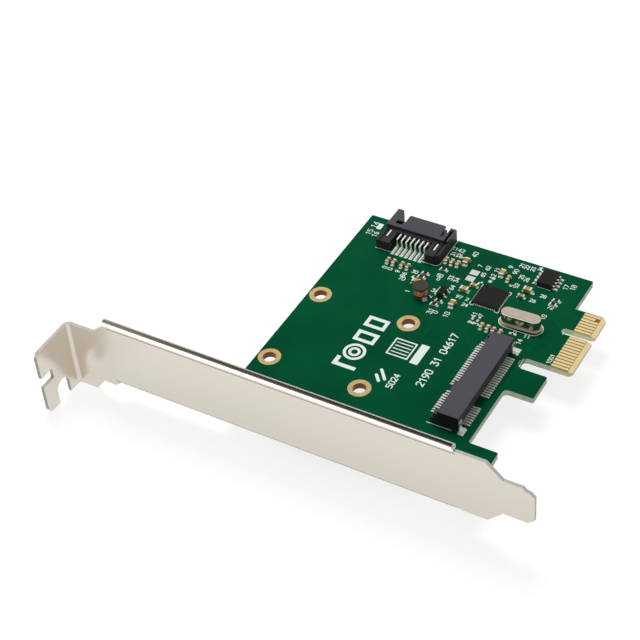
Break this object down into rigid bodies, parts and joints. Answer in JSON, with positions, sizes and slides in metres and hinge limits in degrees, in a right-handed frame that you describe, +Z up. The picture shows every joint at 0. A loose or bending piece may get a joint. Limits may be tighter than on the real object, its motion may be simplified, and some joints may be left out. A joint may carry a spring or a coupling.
{
  "type": "ssd adapter card",
  "caption": "Expansion card with a full-height bracket that carries a small solid-state drive module socket and a data port.",
  "frame": {"origin": "centre of the key notch in the contact tab, on the tab's leading edge, at half the board's thickness", "axes": "+X out of the leading edge, toward the slot that the card plugs into; +Y away from the bracket; +Z up from the component side"},
  "size_m": [0.12, 0.0907, 0.0232],
  "materials": {
    "green_board": "satin",
    "gold_plate": "satin",
    "nickel_steel": "satin",
    "screw_steel": "satin",
    "black_nylon": "matte",
    "tinned_metal": "satin",
    "chip_epoxy": "matte",
    "crystal_metal": "satin",
    "ferrite": "matte",
    "copper_wire": "satin",
    "tan_ceramic": "matte",
    "dark_ceramic": "satin",
    "solder": "satin"
  },
  "bodies": {
    "root": {"circuit_board": "green_board", "standoff_rings": "gold_plate", "edge_contacts_top": "gold_plate", "edge_contacts_bottom": "gold_plate", "mounting_bracket": "nickel_steel", "bracket_screws": "screw_steel", "sata_housing": "black_nylon", "sata_pins": "tinned_metal", "sata_hold_downs": "tinned_metal", "msata_housing": "black_nylon", "msata_front_contacts": "tinned_metal", "msata_rear_contacts": "tinned_metal", "msata_hold_downs": "tinned_metal", "controller_body": "chip_epoxy", "controller_pins": "tinned_metal", "flash_body": "chip_epoxy", "flash_leads": "tinned_metal", "regulator_body": "chip_epoxy", "regulator_leads": "tinned_metal", "crystal_can": "crystal_metal", "crystal_base": "crystal_metal", "crystal_leads": "solder", "inductor_core": "ferrite", "inductor_winding": "copper_wire", "inductor_terminals": "tinned_metal", "small_capacitor_bodies": "tan_ceramic", "small_capacitor_ends": "tinned_metal", "large_capacitor_bodies": "tan_ceramic", "large_capacitor_ends": "tinned_metal", "chip_resistor_bodies": "dark_ceramic", "chip_resistor_ends": "tinned_metal", "solder_pads": "solder"}
  },
  "joints": []
}
